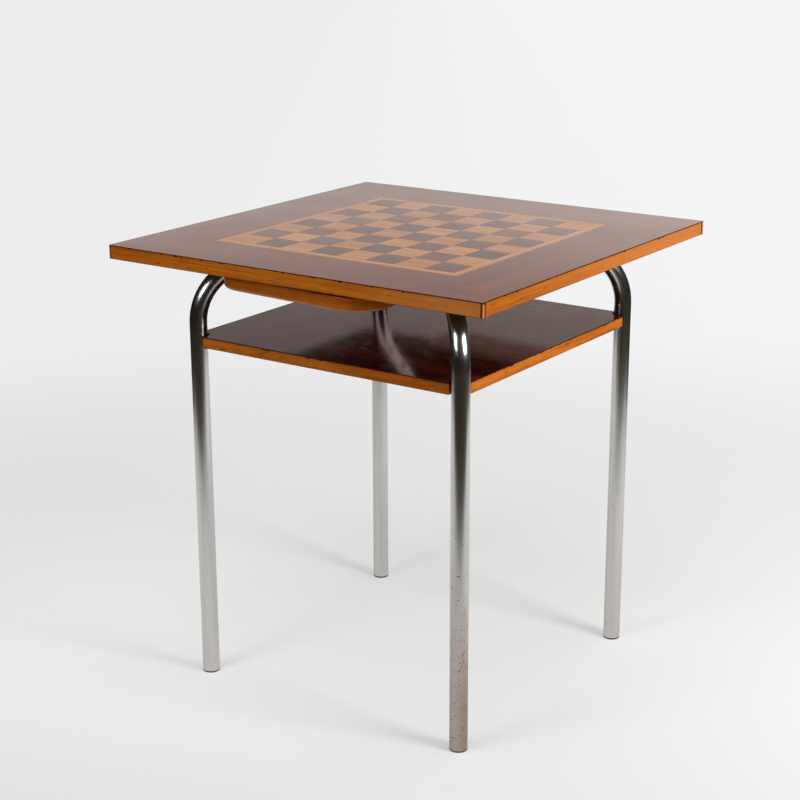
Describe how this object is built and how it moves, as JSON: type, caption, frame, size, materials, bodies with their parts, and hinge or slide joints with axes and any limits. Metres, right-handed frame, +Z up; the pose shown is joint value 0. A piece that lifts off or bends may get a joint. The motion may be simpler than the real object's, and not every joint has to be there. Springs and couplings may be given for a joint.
{
  "type": "chess table",
  "caption": "Square games table with a chess board inlaid in its veneered top, a shelf between bent tube legs, and shallow trays that swing out from under the top.",
  "frame": {"origin": "on the floor, under the middle of the table", "axes": "+Z up; -Y is the front, where the front tray sits; X and Y run along the sides of the top"},
  "size_m": [0.68, 0.68, 0.73],
  "materials": {
    "border_veneer": "dark walnut-like veneer under a satin polish",
    "inlay_strip": "pale veneer under a satin polish",
    "pale_veneer": "pale veneer under a satin polish",
    "dark_veneer": "dark grey-brown veneer under a satin polish",
    "lipping_wood": "honey-brown polished beech",
    "core_board": "raw blockboard",
    "backing_veneer": "plain brown veneer, matt",
    "shelf_veneer": "dark veneer under a gloss polish",
    "tray_wood": "honey-brown polished beech",
    "tray_base_wood": "plywood, thinly polished",
    "tube_chrome": "nickel or chrome plating, dulled and spotted low on the legs",
    "lug_chrome": "plated flat steel",
    "steel": "bright steel",
    "brass": "plain brass",
    "foot_plastic": "black plug"
  },
  "bodies": {
    "table": {"back_left_foot": "foot_plastic", "back_left_leg": "tube_chrome", "back_left_lug": "lug_chrome", "back_pivot_screw": "steel", "back_pivot_spacer": "brass", "back_pivot_washer": "steel", "back_right_foot": "foot_plastic", "back_right_lug": "lug_chrome", "back_stop_peg": "tray_wood", "border_veneer_back": "border_veneer", "border_veneer_front": "border_veneer", "border_veneer_left": "border_veneer", "border_veneer_right": "border_veneer", "dark_squares": "dark_veneer", "front_left_foot": "foot_plastic", "front_left_lug": "lug_chrome", "front_pivot_screw": "steel", "front_pivot_spacer": "brass", "front_pivot_washer": "steel", "front_right_foot": "foot_plastic", "front_right_leg": "tube_chrome", "front_right_lug": "lug_chrome", "front_stop_peg": "tray_wood", "inlay_strip_back": "inlay_strip", "inlay_strip_front": "inlay_strip", "inlay_strip_left": "inlay_strip", "inlay_strip_right": "inlay_strip", "leg_hoop": "tube_chrome", "pale_squares": "pale_veneer", "shelf_bottom_veneer": "backing_veneer", "shelf_core": "core_board", "shelf_lipping_back": "lipping_wood", "shelf_lipping_front": "lipping_wood", "shelf_lipping_left": "lipping_wood", "shelf_lipping_right": "lipping_wood", "shelf_screws": "steel", "shelf_top_veneer": "shelf_veneer", "top_core": "core_board", "top_lipping_back": "lipping_wood", "top_lipping_front": "lipping_wood", "top_lipping_left": "lipping_wood", "top_lipping_right": "lipping_wood", "top_screws": "steel", "top_underside_veneer": "backing_veneer"},
    "front_tray": {"front_tray_rim": "tray_wood", "front_tray_base": "tray_base_wood", "front_pivot_block": "tray_wood", "front_pivot_bush": "brass"},
    "back_tray": {"back_tray_rim": "tray_wood", "back_tray_base": "tray_base_wood", "back_pivot_block": "tray_wood", "back_pivot_bush": "brass"}
  },
  "joints": [
    {"name": "front_tray_swing", "type": "hinge", "parent": "table", "child": "front_tray", "pos_m": [-0.096, -0.271, 0.695], "axis": [0, 0, -1], "range_deg": [-4, 108]},
    {"name": "back_tray_swing", "type": "hinge", "parent": "table", "child": "back_tray", "pos_m": [0.096, 0.271, 0.695], "axis": [0, 0, -1], "range_deg": [-4, 108]}
  ]
}
